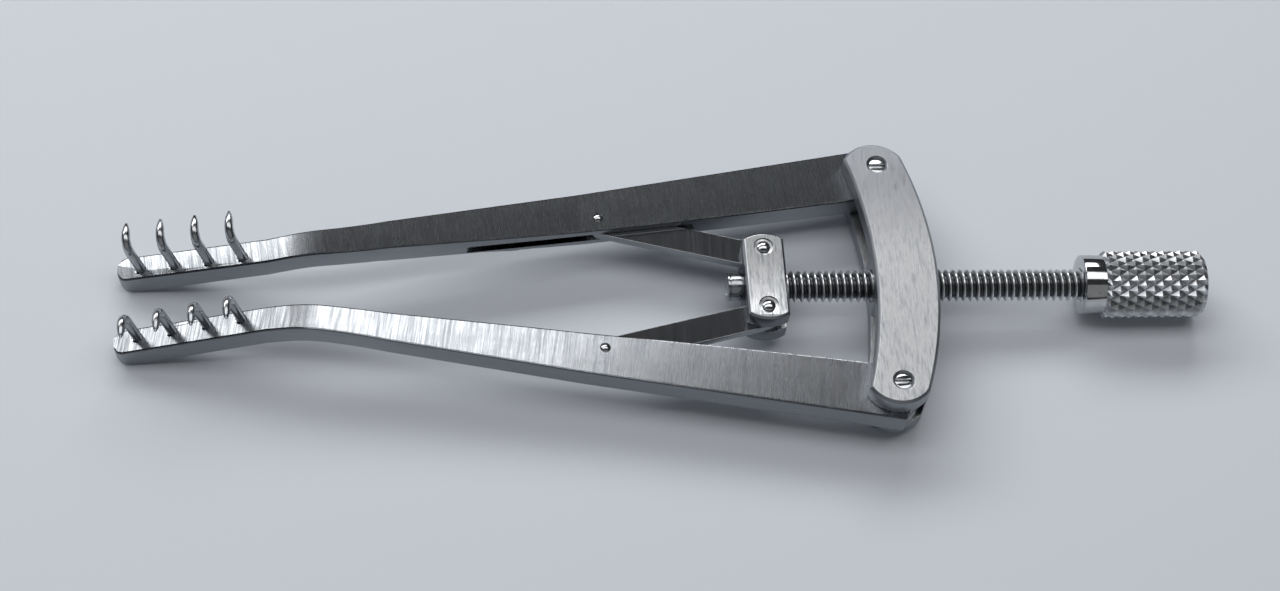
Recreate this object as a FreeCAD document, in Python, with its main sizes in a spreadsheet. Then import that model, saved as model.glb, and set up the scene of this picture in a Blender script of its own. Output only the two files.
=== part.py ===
import FreeCAD, Part
import math
import os

import Sketcher
from FreeCAD import Placement, Rotation, Vector

# Self retaining retractor, millimetres, +Z up. The long prong bars point to -X, the thumb knob
# to +X. The origin is under the middle of the instrument, on the surface that the bar tips touch.
# Left and right are as seen from the thumb knob, looking at the prongs: left is -Y, right is +Y.

os.makedirs("parts", exist_ok=True)
doc = FreeCAD.newDocument("retractor")
sheet = doc.addObject("Spreadsheet::Sheet", "Sizes")

SIZES = [
    ("frame_x", 19.45, "pivot line, ahead of the origin"),
    ("axis_height", 4.385, "screw axis over the surface that it lies on"),
    ("pivot_spacing", 22.2, "between the two pivot screws"),
    ("yoke_thickness", 5.7, "height of the yoke"),
    ("yoke_rear", 4.3, "pivot line to the yoke's back face, on the screw axis"),
    ("yoke_front", 1.3, "pivot line to the yoke's front face, on the screw axis"),
    ("yoke_rear_radius", 36.5, "bow of the back face"),
    ("yoke_front_radius", 41.0, "bow of the front face"),
    ("yoke_end_radius", 3.1, "rounding of each end"),
    ("yoke_end_back", 0.28, "end rounding's centre, ahead of the pivot line"),
    ("yoke_end_inset", 0.83, "end rounding's centre, inside the pivot screw"),
    ("yoke_edge", 0.25, "broken edge of the yoke"),
    ("saw_radius", 8.3, "cutter that saws the yoke's slots"),
    ("saw_inset", 2.1, "cutter's centre, inside the pivot screw"),
    ("slot_rear", 2.05, "pivot line to the bottom of the slot"),
    ("side_clearance", 0.05, "arm to the cheek of its slot"),
    ("turn_clearance", 0.05, "radial clearance of what turns or slides"),
    ("seat_clearance", 0.02, "radial clearance of what is fixed in a hole"),
    ("screw_radius", 0.75, "pivot screw"),
    ("screw_recess", 0.25, "pivot screw's head under the yoke's top face"),
    ("screw_rim", 0.2, "width of the countersunk rim round a pivot screw"),
    ("driver_slot_width", 0.3, "slot in a pivot screw's head"),
    ("driver_slot_depth", 0.35, "depth of that slot"),
    ("arm_thickness", 2.2, "thickness of the arms"),
    ("arm_corner", 0.2, "back corners of the outer and inner edges, off the pivot along X"),
    ("arm_outer", 2.9, "outer edge over the pivot, at its back corner"),
    ("arm_inner", 2.46, "inner edge under the pivot, at its back corner"),
    ("arm_heel", 1.95, "rounded heel of the arm behind its pivot"),
    ("curve_before", 7.1, "start of the curve seen from above to the bend, along X"),
    ("arm_outer_fall", 5.03, "outer edge at the start of the curve, inside the pivot"),
    ("arm_inner_fall", 7.82, "inner edge at the start of the curve, inside the pivot"),
    ("arm_belly_radius", 990.0, "slight bow of the inner edge"),
    ("arm_outer_curve", 66.0, "curve of the outer edge into the bar"),
    ("arm_inner_curve", 82.0, "curve of the inner edge into the bar"),
    ("rise_length", 24.1, "start of the arm's rise to the bend, along X"),
    ("crest_rise", 0.85, "arm's rise from there to the bend"),
    ("arm_length", 51.1, "pivot to the downward bend, along X"),
    ("curve_beyond", 3.4, "bend to the end of that curve, along X"),
    ("bar_outer_start", 6.47, "outer edge at the end of the curve, inside the pivot"),
    ("bar_inner_start", 8.83, "inner edge at the end of the curve, inside the pivot"),
    ("bar_outer_tip", 6.24, "outer edge at the tip, inside the pivot"),
    ("bar_inner_tip", 8.56, "inner edge at the tip, inside the pivot"),
    ("bar_length", 16.85, "bend to tip"),
    ("bar_bend", 15.3, "degrees that the bar slopes down"),
    ("bar_heel", 1.2, "rounded underside of the tip"),
    ("bar_corner", 0.8, "rounded corners of the tip, seen from above"),
    ("link_pin_x", 25.4, "arm's link pin, ahead of the pivot line"),
    ("link_pin_inset", 4.45, "arm's link pin, inside the pivot screw"),
    ("link_pin_radius", 0.45, "pin through the arm"),
    ("arm_saw_radius", 16.1, "cutter that saws the link's slot in the arm"),
    ("arm_saw_depth", 3.4, "depth of the link's slot at the pin, from the inner edge"),
    ("pin_edge", 1.0, "link pin to the arm's inner edge"),
    ("link_thickness", 0.8, "link plate"),
    ("link_clearance", 0.05, "link to the cheek of its slot"),
    ("link_half_width", 1.25, "half the width of the link, and its rounded ends"),
    ("link_play_start", 0.2, "arm's pin to the front centre of the slotted hole"),
    ("link_play", 1.15, "between the centres of the slotted hole's two ends"),
    ("link_play_side", 0.82, "half width of the slotted hole"),
    ("crosshead_x", 10.92, "crosshead's pins, ahead of the pivot line"),
    ("crosshead_pin_y", 3.0, "crosshead's pins, off the screw axis"),
    ("crosshead_pin_radius", 0.55, "crosshead's pins"),
    ("crosshead_length", 3.65, "crosshead along the screw"),
    ("crosshead_width", 8.8, "crosshead across the screw"),
    ("crosshead_height", 4.1, "height of the crosshead"),
    ("crosshead_end_radius", 3.2, "rounded ends of the crosshead"),
    ("crosshead_side", 3.85, "half width at the crosshead's corners"),
    ("crosshead_edge", 0.2, "broken edge of the crosshead"),
    ("crosshead_slit", 1.6, "screw axis to the bottom of the link slits"),
    ("pin_ring", 0.3, "width of the ring sunk round a crosshead pin"),
    ("pin_ring_depth", 0.2, "depth of that ring"),
    ("spindle_radius", 1.42, "threaded spindle, over the thread"),
    ("journal_radius", 0.95, "plain nose that turns in the crosshead"),
    ("nose_reach", 3.28, "crosshead's pins to the front end of the nose"),
    ("collar_radius", 1.28, "collar on the nose"),
    ("collar_waist", 1.18, "collar between its two rims"),
    ("collar_rim", 0.3, "length of the collar's front rim"),
    ("hub_face", 17.66, "pivot line to the knob's front face"),
    ("hub_radius", 2.65, "plain hub of the knob"),
    ("hub_length", 1.85, "length of the hub"),
    ("knob_radius", 2.88, "knurled barrel of the knob"),
    ("knob_length", 9.24, "length of the knurled barrel"),
    ("knob_edge", 0.4, "chamfer at the barrel's ends"),
    ("spindle_seat", 6.0, "depth of the spindle in the knob"),
    ("prong_radius", 0.43, "wire of the prongs"),
    ("prong_pitch", 3.1, "from prong to prong along the bar"),
    ("prong_last", 5.4, "bend to the nearest prong, along the bar"),
    ("prong_line_bend", 8.01, "prong line nearest the bend, inside the pivot"),
    ("prong_line_step", 0.12, "prong line's outward step from prong to prong"),
    ("prong_seat", 1.6, "depth of the prong in the bar"),
    ("prong_stem", 2.88, "straight stem over the bar"),
    ("prong_bend", 1.14, "bend radius of the hook, which turns in three equal steps"),
    ("prong_tip_length", 1.15, "tapered tip"),
    ("prong_tip_radius", 0.08, "point of the tip"),
]
for row, (alias, value, note) in enumerate(SIZES, start=1):
    sheet.set("A%d" % row, note)
    sheet.set("B%d" % row, str(value))
    sheet.setAlias("B%d" % row, alias)
doc.recompute()


def named(text):
    """Turns #alias into a reference to the sheet."""
    return text.replace("#", "Sizes.")


def number(text):
    """Present value of such an expression."""
    return float(sheet.evalExpression(named(text)))


def bind(item, **sizes):
    for name, text in sizes.items():
        item.setExpression(name, named(text))
    return item


def place(item, x="0", y="0", z="0", axis=None, angle=0.0):
    """Puts an item at bound coordinates, turned by a fixed angle about an axis."""
    turn = Rotation(Vector(*axis), angle) if axis else Rotation()
    item.Placement = Placement(Vector(number(x), number(y), number(z)), turn)
    for side, text in (("x", x), ("y", y), ("z", z)):
        item.setExpression("Placement.Base." + side, named(text))
    return item


def cylinder(name, radius, height, **where):
    item = doc.addObject("Part::Cylinder", name)
    bind(item, Radius=radius, Height=height)
    return place(item, **where)


def cone(name, low, high, height, **where):
    item = doc.addObject("Part::Cone", name)
    item.Radius1, item.Radius2 = number(low), number(high)
    bind(item, Radius1=low, Radius2=high, Height=height)
    return place(item, **where)


def box(name, length, width, height, **where):
    item = doc.addObject("Part::Box", name)
    bind(item, Length=length, Width=width, Height=height)
    return place(item, **where)


def joined(name, pieces):
    item = doc.addObject("Part::MultiFuse", name)
    item.Shapes = pieces
    return item


def cut(name, blank, tools):
    item = doc.addObject("Part::Cut", name)
    item.Base = blank
    item.Tool = tools[0] if len(tools) == 1 else joined(name + "_tools", tools)
    return item


def node(item, label, x="0", y="0", z="0"):
    """Names a finished sub-part and sets it in the instrument's frame."""
    item.Label = label
    place(item, "#frame_x + (%s)" % x, y, "#axis_height + (%s)" % z)
    NODES.append(item)
    return item


NODES = []


def outline(sketch, corners, edges):
    """Outline through bound corners, open if it has an edge less than corners. An edge is
    None for a straight line, or (radius, side) for an arc, with its centre left (+1) or
    right (-1) of the travel. A half circle across X is held by its centre."""
    at = [(number(x), number(y)) for x, y in corners]
    ends = []
    for i, edge in enumerate(edges):
        (ax, ay), (bx, by) = at[i], at[(i + 1) % len(at)]
        if edge is None:
            geo = sketch.addGeometry(Part.LineSegment(Vector(ax, ay, 0), Vector(bx, by, 0)))
            ends.append((geo, 1, 2))
            continue
        radius, side = number(edge[0]), edge[1]
        half = math.hypot(bx - ax, by - ay) / 2
        rise = math.sqrt(max(radius * radius - half * half, 0.0))
        cx = (ax + bx) / 2 - side * rise * (by - ay) / (2 * half)
        cy = (ay + by) / 2 + side * rise * (bx - ax) / (2 * half)
        first = math.atan2(ay - cy, ax - cx)
        last = math.atan2(by - cy, bx - cx)
        if side < 0:
            first, last = last, first
        while last < first:
            last += 2 * math.pi
        circle = Part.Circle(Vector(cx, cy, 0), Vector(0, 0, 1), radius)
        geo = sketch.addGeometry(Part.ArcOfCircle(circle, first, last))
        ends.append((geo, 1, 2) if side > 0 else (geo, 2, 1))
        if rise < 1e-6:
            sketch.addConstraint(Sketcher.Constraint("Vertical", geo, 1, geo, 3))
            continue
        index = sketch.addConstraint(Sketcher.Constraint("Radius", geo, radius))
        sketch.setExpression("Constraints[%d]" % index, named(edge[0]))
    for i in range(len(corners)):
        before, _, finish = ends[i - 1]
        if i == len(ends):
            geo, start = before, finish
        else:
            geo, start, _ = ends[i]
            if i > 0 or len(ends) == len(corners):
                sketch.addConstraint(Sketcher.Constraint("Coincident", before, finish, geo, start))
        for kind, axis, text, value in (
            ("DistanceX", -2, corners[i][0], at[i][0]),
            ("DistanceY", -1, corners[i][1], at[i][1]),
        ):
            if abs(value) < 1e-9:
                sketch.addConstraint(Sketcher.Constraint("PointOnObject", geo, start, axis))
                continue
            index = sketch.addConstraint(Sketcher.Constraint(kind, -1, 1, geo, start, value))
            sketch.setExpression("Constraints[%d]" % index, named(text))
    return ends


def circle_in(sketch, x, radius):
    """Circle on the sketch's X axis."""
    geo = sketch.addGeometry(Part.Circle(Vector(number(x), 0, 0), Vector(0, 0, 1), number(radius)))
    if abs(number(x)) < 1e-9:
        sketch.addConstraint(Sketcher.Constraint("Coincident", geo, 3, -1, 1))
    else:
        sketch.addConstraint(Sketcher.Constraint("PointOnObject", geo, 3, -1))
        index = sketch.addConstraint(Sketcher.Constraint("DistanceX", -1, 1, geo, 3, number(x)))
        sketch.setExpression("Constraints[%d]" % index, named(x))
    index = sketch.addConstraint(Sketcher.Constraint("Radius", geo, number(radius)))
    sketch.setExpression("Constraints[%d]" % index, named(radius))


def body_sketch(body, role, name):
    sketch = body.newObject("Sketcher::SketchObject", name)
    plane = [p for p in body.Origin.OriginFeatures if p.Role == role][0]
    sketch.AttachmentSupport = [(plane, "")]
    sketch.MapMode = "FlatFace"
    return sketch


def pad(body, sketch, name, length):
    item = body.newObject("PartDesign::Pad", name)
    item.Profile = sketch
    item.SideType = "Symmetric"
    bind(item, Length=length)
    sketch.Visibility = False
    return item


def revolved(name, label, corners):
    """Turned piece: the corners are (distance along the screw from the pivot line, radius)."""
    body = doc.addObject("PartDesign::Body", name)
    sketch = body_sketch(body, "XZ_Plane", name + "_profile")
    outline(sketch, corners, [None] * len(corners))
    item = body.newObject("PartDesign::Revolution", name + "_turned")
    item.Profile = sketch
    item.ReferenceAxis = (sketch, ["H_Axis"])
    item.Angle = 360.0
    return node(body, label)


def chamfered_faces(body, base, name, width):
    """Breaks the edges of the top and bottom faces of a padded blank."""
    doc.recompute()
    edges = []
    for face in base.Shape.Faces:
        if abs(face.normalAt(0, 0).z) > 0.99 and isinstance(face.Surface, Part.Plane):
            for edge in face.Edges:
                for i, other in enumerate(base.Shape.Edges, start=1):
                    if other.isSame(edge):
                        edges.append("Edge%d" % i)
    item = body.newObject("PartDesign::Chamfer", name)
    item.Base = (base, edges)
    bind(item, Size=width)
    return item


# Yoke: a bowed bar, rounded at its ends, whose ends are sawn into forks for the arms.
HALF = "#pivot_spacing / 2"


def yoke_piece():
    body = doc.addObject("PartDesign::Body", "yoke_blank")
    sketch = body_sketch(body, "XY_Plane", "yoke_outline")
    end_y = number(HALF) - number("#yoke_end_inset")
    end_x = -number("#yoke_end_back")
    out_x = number("#yoke_end_radius") * math.cos(math.radians(30))
    out_y = number("#yoke_end_radius") * math.sin(math.radians(30))
    arcs = (
        ("#yoke_rear - #yoke_rear_radius", "0", "#yoke_rear_radius"),
        ("-#yoke_end_back", HALF + " - #yoke_end_inset", "#yoke_end_radius"),
        ("-#yoke_front - #yoke_front_radius", "0", "#yoke_front_radius"),
        ("-#yoke_end_back", "-(%s - #yoke_end_inset)" % HALF, "#yoke_end_radius"),
    )

    def meet(one, two, near):
        (ax, ay, ar), (bx, by, br) = [[number(v) for v in arc] for arc in (one, two)]
        gap = math.hypot(bx - ax, by - ay)
        along = (ar * ar - br * br + gap * gap) / (2 * gap)
        off = math.sqrt(ar * ar - along * along)
        ux, uy = (bx - ax) / gap, (by - ay) / gap
        points = [(ax + along * ux - s * off * uy, ay + along * uy + s * off * ux) for s in (-1, 1)]
        return min(points, key=lambda p: math.hypot(p[0] - near[0], p[1] - near[1]))

    rear_right = meet(arcs[0], arcs[1], (end_x + out_x, end_y + out_y))
    front_right = meet(arcs[2], arcs[1], (end_x - out_x, end_y + out_y))
    spots = [
        (rear_right[0], -rear_right[1]),
        rear_right,
        front_right,
        (front_right[0], -front_right[1]),
    ]
    ends = []
    for i, (cx, cy, radius) in enumerate(arcs):
        x, y, r = number(cx), number(cy), number(radius)
        first = math.atan2(spots[i][1] - y, spots[i][0] - x)
        last = math.atan2(spots[(i + 1) % 4][1] - y, spots[(i + 1) % 4][0] - x)
        backwards = i == 2
        if backwards:
            first, last = last, first
        while last < first:
            last += 2 * math.pi
        geo = sketch.addGeometry(
            Part.ArcOfCircle(Part.Circle(Vector(x, y, 0), Vector(0, 0, 1), r), first, last)
        )
        ends.append((geo, 2, 1) if backwards else (geo, 1, 2))
        for kind, text in (("DistanceX", cx), ("DistanceY", cy)):
            if text == "0":
                sketch.addConstraint(Sketcher.Constraint("PointOnObject", geo, 3, -1))
                continue
            index = sketch.addConstraint(Sketcher.Constraint(kind, -1, 1, geo, 3, number(text)))
            sketch.setExpression("Constraints[%d]" % index, named(text))
        index = sketch.addConstraint(Sketcher.Constraint("Radius", geo, r))
        sketch.setExpression("Constraints[%d]" % index, named(radius))
    for i, (geo, start, _) in enumerate(ends):
        before, _, finish = ends[i - 1]
        sketch.addConstraint(Sketcher.Constraint("Coincident", before, finish, geo, start))
    blank = pad(body, sketch, "yoke_pad", "#yoke_thickness")
    chamfered_faces(body, blank, "yoke_edges", "#yoke_edge")

    tools = [
        cylinder(
            "yoke_bore",
            "#spindle_radius + #turn_clearance",
            "#yoke_rear + #yoke_front + 4",
            x="-#yoke_front - 2",
            axis=(0, 1, 0),
            angle=90,
        )
    ]
    slot = "#arm_thickness + 2 * #side_clearance"
    for side, sign in (("left", "-"), ("right", "")):
        pivot = "%s(%s)" % (sign, HALF)
        saw = "%s(%s - #saw_inset)" % (sign, HALF)
        tools.append(
            cylinder(
                "yoke_saw_" + side,
                "#saw_radius",
                slot,
                x="#slot_rear - #saw_radius",
                y=saw,
                z="-(%s) / 2" % slot,
            )
        )
        tools.append(
            box(
                "yoke_fork_" + side,
                "2 * #saw_radius",
                "#saw_inset + #yoke_end_radius + 2",
                slot,
                x="#slot_rear - 2 * #saw_radius",
                y=saw if side == "right" else "%s - (#saw_inset + #yoke_end_radius + 2)" % saw,
                z="-(%s) / 2" % slot,
            )
        )
        tools.append(
            cylinder(
                "yoke_screw_hole_" + side,
                "#screw_radius + #seat_clearance",
                "#yoke_thickness + 2",
                y=pivot,
                z="-#yoke_thickness / 2 - 1",
            )
        )
        tools.append(
            cone(
                "yoke_screw_rim_" + side,
                "#screw_radius + #seat_clearance",
                "#screw_radius + #seat_clearance + #screw_rim * 2",
                "#screw_rim * 2",
                y=pivot,
                z="#yoke_thickness / 2 - #screw_rim",
            )
        )
    return node(cut("yoke_forked", body, tools), "yoke")


yoke_piece()

# Pivot screws: plain pins with a driver slot, sunk in the yoke's top face.
for side, sign in (("left", "-"), ("right", "")):
    shank = cylinder(
        "pivot_screw_shank_" + side,
        "#screw_radius",
        "#yoke_thickness - #screw_recess",
        z="-#yoke_thickness / 2",
    )
    groove = box(
        "pivot_screw_groove_" + side,
        "#screw_radius * 2 + 1",
        "#driver_slot_width",
        "#driver_slot_depth + 1",
        x="-#screw_radius - 0.5",
        y="-#driver_slot_width / 2",
        z="#yoke_thickness / 2 - #screw_recess - #driver_slot_depth",
    )
    piece = cut("pivot_screw_cut_" + side, shank, [groove])
    node(piece, "pivot_screw_" + side, y="%s(%s)" % (sign, HALF))

# Arms: tapered blades, pivoted in the yoke, that curve into parallel bars bent down at the front.
TIP_X = (
    "-(#arm_length + #bar_length * cos(#bar_bend) + #arm_thickness / 2 * sin(#bar_bend))"
)


def mirrored(side, text):
    return text if side == "right" else "-(%s)" % text


def arm_piece(side):
    turn = 1 if side == "right" else -1
    plan = doc.addObject("Sketcher::SketchObject", "arm_plan_" + side)
    corners = [
        ("#arm_corner", "#arm_outer"),
        ("-(#arm_length - #curve_before)", "-#arm_outer_fall"),
        ("-(#arm_length + #curve_beyond)", "-#bar_outer_start"),
        (TIP_X + " + #bar_corner", "-#bar_outer_tip"),
        (TIP_X, "-#bar_outer_tip - #bar_corner"),
        (TIP_X, "-#bar_inner_tip + #bar_corner"),
        (TIP_X + " + #bar_corner", "-#bar_inner_tip"),
        ("-(#arm_length + #curve_beyond)", "-#bar_inner_start"),
        ("-(#arm_length - #curve_before)", "-#arm_inner_fall"),
        ("-#arm_corner", "-#arm_inner"),
        ("#arm_heel * cos(50)", "-#arm_heel * sin(50)"),
        ("#arm_heel * cos(40)", "#arm_heel * sin(40)"),
    ]
    edges = [
        None,
        ("#arm_outer_curve", -turn),
        None,
        ("#bar_corner", turn),
        None,
        ("#bar_corner", turn),
        None,
        ("#arm_inner_curve", turn),
        ("#arm_belly_radius", turn),
        None,
        ("#arm_heel", turn),
        None,
    ]
    outline(plan, [(x, mirrored(side, y)) for x, y in corners], edges)
    depth = "2 * (#bar_length * sin(#bar_bend) + #arm_thickness + #crest_rise)"
    from_above = doc.addObject("Part::Extrusion", "arm_from_above_" + side)
    from_above.Base = plan
    from_above.DirMode = "Custom"
    from_above.Dir = Vector(0, 0, 1)
    from_above.Symmetric = True
    from_above.Solid = True
    bind(from_above, LengthFwd=depth)

    profile = doc.addObject("Sketcher::SketchObject", "arm_profile_" + side)
    profile.Placement = Placement(Vector(), Rotation(Vector(1, 0, 0), 90))
    along = "-(#arm_length + (%s) * cos(#bar_bend) + (%s) * sin(#bar_bend))"
    up = "#crest_rise - (%s) * sin(#bar_bend) + (%s) * cos(#bar_bend)"
    half = "#arm_thickness / 2"
    mitre = "%s * tan(#bar_bend / 2)" % half
    back = "#arm_heel + 1"
    sides = [
        (back, half),
        ("-(#arm_length - #rise_length)", half),
        ("-(#arm_length + %s)" % mitre, "#crest_rise + " + half),
        (along % ("#bar_length", half), up % ("#bar_length", half)),
        (
            along % ("#bar_length", "#bar_heel - " + half),
            up % ("#bar_length", "#bar_heel - " + half),
        ),
        (
            along % ("#bar_length - #bar_heel", "-" + half),
            up % ("#bar_length - #bar_heel", "-" + half),
        ),
        ("-(#arm_length - %s)" % mitre, "#crest_rise - " + half),
        ("-(#arm_length - #rise_length)", "-" + half),
        (back, "-" + half),
    ]
    outline(
        profile, sides, [None, None, None, None, ("#bar_heel", 1), None, None, None, None]
    )
    from_side = doc.addObject("Part::Extrusion", "arm_from_side_" + side)
    from_side.Base = profile
    from_side.DirMode = "Custom"
    from_side.Dir = Vector(0, 1, 0)
    from_side.Symmetric = True
    from_side.Solid = True
    bind(from_side, LengthFwd="4 * #bar_inner_start")

    blade = doc.addObject("Part::MultiCommon", "arm_blade_" + side)
    blade.Shapes = [from_above, from_side]

    inward = "-" if side == "right" else ""
    slit = "#link_thickness + 2 * #link_clearance"
    tools = [
        cylinder(
            "arm_pivot_hole_" + side,
            "#screw_radius + #turn_clearance",
            "#arm_thickness + 2",
            z="-#arm_thickness / 2 - 1",
        ),
        cylinder(
            "arm_link_slot_" + side,
            "#arm_saw_radius",
            slit,
            x="-#link_pin_x",
            y="%s(#link_pin_inset + #pin_edge + #arm_saw_radius - #arm_saw_depth)" % inward,
            z="-(%s) / 2" % slit,
        ),
        cylinder(
            "arm_pin_hole_" + side,
            "#link_pin_radius + #seat_clearance",
            "#arm_thickness + 2",
            x="-#link_pin_x",
            y="%s#link_pin_inset" % inward,
            z="-#arm_thickness / 2 - 1",
        ),
    ]
    for i in range(1, 5):
        x, y, z = prong_foot(side, i)
        hole = cylinder(
            "arm_prong_hole_%s_%d" % (side, i),
            "#prong_radius + #seat_clearance",
            "#prong_seat + 1",
            x="%s + #prong_seat * sin(#bar_bend)" % x,
            y=y,
            z="%s - #prong_seat * cos(#bar_bend)" % z,
            axis=(0, -1, 0),
            angle=number("#bar_bend"),
        )
        bind(hole, **{"Placement.Rotation.Angle": "#bar_bend"})
        tools.append(hole)
    arm = cut("arm_cut_" + side, blade, tools)
    return node(arm, "arm_" + side, y=mirrored(side, HALF))


def prong_foot(side, i):
    """Where prong i (1 is nearest the tip) leaves the bar's top face, from the arm's pivot."""
    run = "(#prong_last + #prong_pitch * %d)" % (4 - i)
    x = "-(#arm_length + %s * cos(#bar_bend) + #arm_thickness / 2 * sin(#bar_bend))" % run
    z = "#crest_rise - %s * sin(#bar_bend) + #arm_thickness / 2 * cos(#bar_bend)" % run
    y = mirrored(side, "-(#prong_line_bend - #prong_line_step * %d)" % (4 - i))
    return x, y, z


for side in ("left", "right"):
    arm_piece(side)

# Prongs: wire hooks set in the bars, each a stem, a quarter bend outward and a tapered point.
def prong_piece(side, i):
    key = "%s_%d" % (side, i)
    out = 1 if side == "right" else -1
    path = doc.addObject("Sketcher::SketchObject", "prong_path_" + key)
    path.Placement = Placement(
        Vector(), Rotation(Vector(0, 1, 0), Vector(0, 0, 1), Vector(1, 0, 0), "XYZ")
    )
    corners = [("0", "-#prong_seat")]
    for turned in (15, 45, 75):
        reach = "#prong_bend / cos(15)"
        corners.append(
            (
                mirrored(side, "#prong_bend - %s * cos(%d)" % (reach, turned)),
                "#prong_stem + %s * sin(%d)" % (reach, turned),
            )
        )
    end = (mirrored(side, "#prong_bend"), "#prong_stem + #prong_bend")
    corners.append(end)
    outline(path, corners, [None] * 4)
    section = doc.addObject("Part::Circle", "prong_section_" + key)
    bind(section, Radius="#prong_radius")
    place(section, z="-#prong_seat")
    bent = doc.addObject("Part::Sweep", "prong_bent_" + key)
    bent.Sections = [section]
    bent.Spine = (path, [])
    bent.Solid = True
    bent.Transition = "Right corner"
    tip = cone(
        "prong_tip_" + key,
        "#prong_radius",
        "#prong_tip_radius",
        "#prong_tip_length",
        y=end[0],
        z=end[1],
        axis=(-out, 0, 0),
        angle=90,
    )
    x, y, z = prong_foot(side, i)
    wire = joined("prong_wire_" + key, [bent, tip])
    item = node(wire, "prong_" + key, x=x, y="%s + (%s)" % (mirrored(side, HALF), y), z=z)
    item.Placement = Placement(item.Placement.Base, Rotation(Vector(0, -1, 0), number("#bar_bend")))
    bind(item, **{"Placement.Rotation.Angle": "#bar_bend"})


for side in ("left", "right"):
    for i in range(1, 5):
        prong_piece(side, i)

# Pins that hold the links in the arms' saw slots, flush with both faces of the arm.
for side in ("left", "right"):
    pin = cylinder("arm_link_pin_" + side, "#link_pin_radius", "#arm_thickness")
    node(
        pin,
        "arm_link_pin_" + side,
        x="-#link_pin_x",
        y=mirrored(side, "#pivot_spacing / 2 - #link_pin_inset"),
        z="-#arm_thickness / 2",
    )


# Crosshead: a small block with rounded ends, slit at both ends for the links.
def crosshead_piece():
    body = doc.addObject("PartDesign::Body", "crosshead_blank")
    sketch = body_sketch(body, "XY_Plane", "crosshead_outline")
    half = "#crosshead_length / 2"
    outline(
        sketch,
        [
            (half, "-#crosshead_side"),
            (half, "#crosshead_side"),
            ("-" + half, "#crosshead_side"),
            ("-" + half, "-#crosshead_side"),
        ],
        [None, ("#crosshead_end_radius", 1), None, ("#crosshead_end_radius", 1)],
    )
    blank = pad(body, sketch, "crosshead_pad", "#crosshead_height")
    chamfered_faces(body, blank, "crosshead_edges", "#crosshead_edge")
    slit = "#link_thickness + 2 * #link_clearance"
    tools = [
        cylinder(
            "crosshead_bore",
            "#journal_radius + #turn_clearance",
            "#crosshead_length + 2",
            x="-#crosshead_length / 2 - 1",
            axis=(0, 1, 0),
            angle=90,
        )
    ]
    for side, sign in (("left", "-"), ("right", "")):
        tools.append(
            box(
                "crosshead_slit_" + side,
                "#crosshead_length + 2",
                "#crosshead_width",
                slit,
                x="-#crosshead_length / 2 - 1",
                y="#crosshead_slit" if side == "right" else "-#crosshead_slit - #crosshead_width",
                z="-(%s) / 2" % slit,
            )
        )
        tools.append(
            cylinder(
                "crosshead_pin_hole_" + side,
                "#crosshead_pin_radius + #seat_clearance",
                "#crosshead_height + 2",
                y=sign + "#crosshead_pin_y",
                z="-#crosshead_height / 2 - 1",
            )
        )
        tools.append(
            cylinder(
                "crosshead_ring_" + side,
                "#crosshead_pin_radius + #pin_ring",
                "#pin_ring_depth + 1",
                y=sign + "#crosshead_pin_y",
                z="#crosshead_height / 2 - #pin_ring_depth",
            )
        )
    node(cut("crosshead_cut", body, tools), "crosshead", x="-#crosshead_x")


crosshead_piece()

for side in ("left", "right"):
    pin = cylinder(
        "crosshead_pin_" + side, "#crosshead_pin_radius", "#crosshead_height - 0.1"
    )
    node(
        pin,
        "crosshead_pin_" + side,
        x="-#crosshead_x",
        y=mirrored(side, "#crosshead_pin_y"),
        z="-#crosshead_height / 2 + 0.05",
    )

# Links: flat plates from the crosshead's pins to the arms' pins, with a slotted front hole.
LINK_RUN = "(#link_pin_x - #crosshead_x)"
LINK_RISE = "(#pivot_spacing / 2 - #link_pin_inset - #crosshead_pin_y)"
LINK_LENGTH = "sqrt(%s ^ 2 + %s ^ 2)" % (LINK_RUN, LINK_RISE)
for side in ("left", "right"):
    body = doc.addObject("PartDesign::Body", "link_plate_" + side)
    sketch = body_sketch(body, "XY_Plane", "link_outline_" + side)
    nose = "-(%s)" % LINK_LENGTH
    outline(
        sketch,
        [
            ("0", "#link_half_width"),
            (nose, "#link_half_width"),
            (nose, "-#link_half_width"),
            ("0", "-#link_half_width"),
        ],
        [None, ("#link_half_width", 1), None, ("#link_half_width", 1)],
    )
    circle_in(sketch, "0", "#crosshead_pin_radius + #turn_clearance")
    front = "-(%s) + #link_play_start" % LINK_LENGTH
    rear = front + " + #link_play"
    outline(
        sketch,
        [
            (rear, "#link_play_side"),
            (front, "#link_play_side"),
            (front, "-#link_play_side"),
            (rear, "-#link_play_side"),
        ],
        [None, ("#link_play_side", 1), None, ("#link_play_side", 1)],
    )
    pad(body, sketch, "link_pad_" + side, "#link_thickness")
    node(body, "link_" + side, x="-#crosshead_x", y=mirrored(side, "#crosshead_pin_y"))
    turn = -1 if side == "right" else 1
    angle = "atan(%s / %s)" % (LINK_RISE, LINK_RUN)
    body.Placement = Placement(
        body.Placement.Base, Rotation(Vector(0, 0, turn), number(angle))
    )
    bind(body, **{"Placement.Rotation.Angle": angle})

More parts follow.
